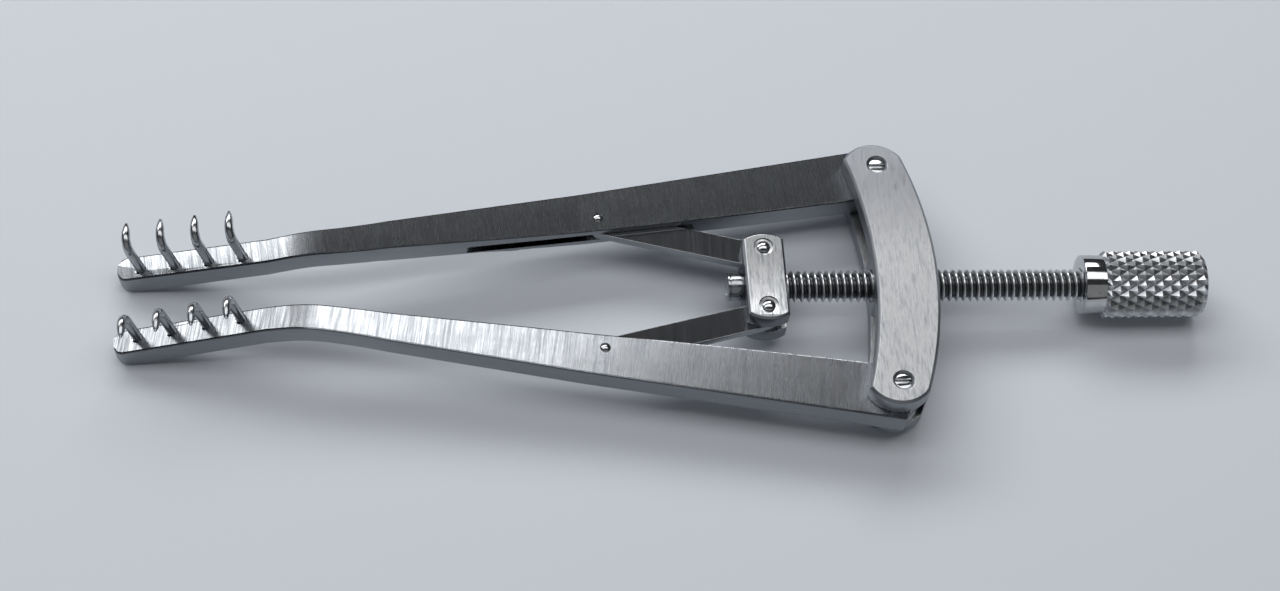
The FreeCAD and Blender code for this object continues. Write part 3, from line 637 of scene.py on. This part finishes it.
def spindle():
    """Thread from the crosshead's shoulder into the knob, and a plain nose in front. The thread
    is made a little too long and cut at both ends."""
    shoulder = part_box("crosshead")[1][0] + SHOULDER_GAP
    length = SPINDLE_HIGH[0] - shoulder
    turns = math.ceil(length / THREAD_PITCH) + THREAD_SPARE_TURNS
    root = THREAD_RADIUS - THREAD_DEPTH
    bm = bmesh.new()
    start = shoulder - THREAD_SPARE_FRONT * THREAD_PITCH
    verts = []
    for share, height in THREAD_RIB:
        radius = THREAD_RADIUS if height else root
        verts.append(bm.verts.new((start + share * THREAD_PITCH, 0, AXIS.z + radius)))
    edges = [bm.edges.new(pair) for pair in zip(verts, verts[1:])]
    bmesh.ops.spin(
        bm,
        geom=verts + edges,
        cent=AXIS,
        axis=BACK,
        dvec=BACK * THREAD_PITCH / THREAD_STEPS,
        angle=2 * math.pi * turns,
        steps=THREAD_STEPS * turns,
        use_merge=False,
        use_duplicate=False,
    )
    bmesh.ops.remove_doubles(bm, verts=bm.verts, dist=WELD)
    for x, away in ((shoulder, FRONT), (SPINDLE_HIGH[0], BACK)):
        geom = bm.verts[:] + bm.edges[:] + bm.faces[:]
        bmesh.ops.bisect_plane(
            bm, geom=geom, plane_co=(x, 0, 0), plane_no=away, clear_outer=True
        )
    bmesh.ops.holes_fill(bm, edges=[e for e in bm.edges if e.is_boundary])
    piece(bm, "threaded_spindle", "screw", THREAD_STEEL, "spindle", smooth=50, weighted=False)

    front = SPINDLE_LOW[0]
    nose = turned(
        [
            (front, 0),
            (front, JOURNAL_RADIUS - NOSE_EDGE),
            (front + NOSE_EDGE, JOURNAL_RADIUS),
            (shoulder + NOSE_OVERLAP, JOURNAL_RADIUS),
            (shoulder + NOSE_OVERLAP, 0),
        ],
        steps=48,
    )
    piece(nose, "spindle_nose", "screw", POLISHED, "spindle")


FLANGE_LENGTH, GROOVE_LENGTH = 0.17 * MM, 0.1 * MM
GROOVE_DEPTH = 0.16 * MM
FIT = 0.02 * MM


def retaining_collar():
    """Ring on the nose: a thin flange in front, a fine groove, and a barrel a little smaller
    than the flange."""
    low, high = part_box("retaining_collar")
    front, back = low[0], high[0]
    flange_back = front + FLANGE_LENGTH
    groove_back = flange_back + GROOVE_LENGTH
    rim = (high[2] - low[2]) / 2
    barrel = rim - FIT
    groove = rim - GROOVE_DEPTH
    bore = JOURNAL_RADIUS + FIT
    bm = turned(
        [
            (front, bore),
            (front, rim),
            (flange_back, rim),
            (flange_back, groove),
            (groove_back, groove),
            (groove_back, barrel),
            (back, barrel),
            (back, bore),
            (front, bore),
        ],
        steps=56,
    )
    soften(bm, width=0.03 * MM)
    piece(bm, "nose_collar", "screw", COLLAR_STEEL, "retaining_collar")


KNURL_LENGTH = 9.24 * MM
KNURL_DEPTH = 0.3 * MM
KNURL_PROUD = 0.13 * MM
KNURL_STARTS = 19
KNURL_ROWS = 11
KNOB_CHAMFER = 0.4 * MM
HUB_RADIUS = 2.65 * MM
HUB_OVERLAP = 0.2 * MM


def thumb_knob():
    """Polished hub and a barrel with a diamond knurl: ribs cut both ways into small pyramids,
    whose points stand a little proud of the plain cylinder that the CAD model has."""
    low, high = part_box("thumb_knob")
    radius = (high[2] - low[2]) / 2 + KNURL_PROUD
    barrel = high[0] - KNURL_LENGTH
    seat = THREAD_RADIUS + FIT
    hub = turned(
        [
            (low[0], seat),
            (low[0], HUB_RADIUS),
            (barrel + HUB_OVERLAP, HUB_RADIUS),
            (barrel + HUB_OVERLAP, seat),
            (low[0], seat),
        ]
    )
    soften(hub, width=0.14 * MM, segments=3)
    piece(hub, "knob_hub", "screw", POLISHED, "thumb_knob")

    bm = bmesh.new()
    segments = 2 * KNURL_STARTS
    length = KNURL_LENGTH - 2 * KNOB_CHAMFER
    bmesh.ops.create_cone(
        bm, cap_ends=True, segments=segments, radius1=radius, radius2=radius, depth=length
    )
    sides = [e for e in bm.edges if abs(e.verts[0].co.z - e.verts[1].co.z) > length / 2]
    bmesh.ops.subdivide_edges(bm, edges=sides, cuts=KNURL_ROWS - 1)
    step = length / KNURL_ROWS

    def is_peak(vert):
        """Every other crossing of the rows and the lines along the barrel is a point."""
        row = round((vert.co.z + length / 2) / step)
        spot = round(math.atan2(vert.co.y, vert.co.x) / (2 * math.pi / segments) - 0.5)
        return (row + spot) % 2 == 0

    peaks = {vert for vert in bm.verts if is_peak(vert)}
    for face in list(bm.faces):
        if len(face.verts) == 4:
            low_pair = [vert for vert in face.verts if vert not in peaks]
            bmesh.utils.face_split(face, low_pair[0], low_pair[1])
    for vert in bm.verts:
        if vert not in peaks:
            vert.co.xy *= (radius - KNURL_DEPTH) / radius
    for cap in [face for face in bm.faces if len(face.verts) > 4]:
        up = 1 if cap.calc_center_median().z > 0 else -1
        bmesh.ops.inset_region(bm, faces=[cap], thickness=KNOB_CHAMFER)
        for vert in cap.verts:
            vert.co.xy = vert.co.xy.normalized() * (radius - KNOB_CHAMFER)
            vert.co.z += up * KNOB_CHAMFER
    turn = Matrix.Rotation(math.pi / 2, 4, "Y")
    middle = Vector(((barrel + high[0]) / 2, AXIS.y, AXIS.z))
    bmesh.ops.transform(bm, matrix=Matrix.Translation(middle) @ turn, verts=bm.verts)
    # Painted shade darkens the knurl's valleys.
    knurl = cut_steel("knurled_steel", radius - KNURL_DEPTH, radius, "#a6a9ad", 0.28)
    piece(bm, "knurled_barrel", "screw", knurl, "thumb_knob", smooth=0)


yoke()
crosshead()
for side in ("left", "right"):
    arm(side)
    for number in range(1, 5):
        prong(side, number)
    pivot_screw(side)
    link(side)
    upright_pin("crosshead_pin_" + side, "domed_pin_" + side, "crosshead")
    upright_pin("arm_link_pin_" + side, "peened_pin_" + side, "arm_" + side)
spindle()
retaining_collar()
thumb_knob()


# How far behind its tip a bar touches the sheet, and the sheet's clearance there.
REST_POINT = 1.2 * MM
SHEET_GAP = 0.02 * MM
SHEET_HALF = 0.6


def paper():
    """The sheet it lies on. The bars' tips and the knob's far end touch it, so it slopes a
    little. Uncoated paper: the eye sees an even matt tone without a highlight."""
    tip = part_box("arm_left")[0]
    knob_low, knob_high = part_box("thumb_knob")
    run = knob_high[0] - (tip[0] + REST_POINT)
    slope = math.atan2(knob_low[2] - KNURL_PROUD - tip[2], run)
    bm = bmesh.new()
    bmesh.ops.create_grid(bm, x_segments=2, y_segments=2, size=SHEET_HALF)
    mesh = bpy.data.meshes.new("sheet")
    bm.to_mesh(mesh)
    bm.free()
    item = bpy.data.objects.new("sheet", mesh)
    bpy.context.collection.objects.link(item)
    item.location = (tip[0] + REST_POINT, 0, tip[2] - SHEET_GAP)
    item.rotation_euler = (0, -slope, 0)
    material = bpy.data.materials.new("pale_paper")
    material.use_nodes = True
    tree = material.node_tree
    shader = tree.nodes["Principled BSDF"]
    shader.inputs["Roughness"].default_value = 0.85
    shader.inputs["Base Color"].default_value = linear("#d6dbe2")
    mesh.materials.append(material)


paper()


def softbox(name, place, target, size, power):
    """Rectangular studio lamp at a place, turned to a target."""
    lamp = bpy.data.lights.new(name, "AREA")
    lamp.shape = "RECTANGLE"
    lamp.size, lamp.size_y = size
    lamp.energy = power
    item = bpy.data.objects.new(name, lamp)
    bpy.context.collection.objects.link(item)
    item.location = place
    item.rotation_euler = (Vector(target) - Vector(place)).to_track_quat("-Z", "Y").to_euler()


# A pale ceiling and a window on the far side. The flat tops mirror the dark gap between them,
# and a weak lamp on the near side lights the flanks.
softbox("ceiling", (-0.05, 0.04, 0.45), (-0.05, 0, 0), size=(0.8, 0.22), power=1.05)
softbox("far_window", (-0.165, 0.377, 0.328), (-0.1, 0, 0), size=(0.77, 0.17), power=2.2)
softbox("near_fill", (-0.05, -0.45, 0.3), (-0.05, 0, 0), size=(1.0, 0.5), power=0.35)

# The rest of the room, dim and even.
world = bpy.data.worlds.new("room")
bpy.context.scene.world = world
world.use_nodes = True
background = world.node_tree.nodes["Background"]
background.inputs["Color"].default_value = linear("#c9cdd2")
background.inputs["Strength"].default_value = 0.07

# Camera at the photograph's angle, fitted in the frame of the pivot line and the screw's axis.
PIVOT_LINE = Vector((19.45, 0, 4.385)) * MM
AZIMUTH, ELEVATION, ROLL = (math.radians(a) for a in (-11.2, 58.73, 9.19))
DISTANCE = 227.06 * MM
TARGET = PIVOT_LINE + Vector((-21.97, -0.79, 0)) * MM
FOCAL_PIXELS, IMAGE_WIDTH = 2580.1, 1280
toward = Vector(
    (
        math.sin(AZIMUTH) * math.cos(ELEVATION),
        -math.cos(AZIMUTH) * math.cos(ELEVATION),
        math.sin(ELEVATION),
    )
)
level = Vector((math.cos(AZIMUTH), math.sin(AZIMUTH), 0))
upright = toward.cross(level)
right = math.cos(ROLL) * level + math.sin(ROLL) * upright
upward = math.cos(ROLL) * upright - math.sin(ROLL) * level
lens = bpy.data.cameras.new("camera")
lens.sensor_width = 36
lens.lens = FOCAL_PIXELS / IMAGE_WIDTH * lens.sensor_width
lens.clip_start = 0.01
camera = bpy.data.objects.new("camera", lens)
bpy.context.collection.objects.link(camera)
camera.matrix_world = Matrix.Translation(TARGET + toward * DISTANCE) @ Matrix(
    (right, upward, toward)
).transposed().to_4x4()
bpy.context.scene.camera = camera

bpy.context.scene.view_settings.view_transform = "Standard"
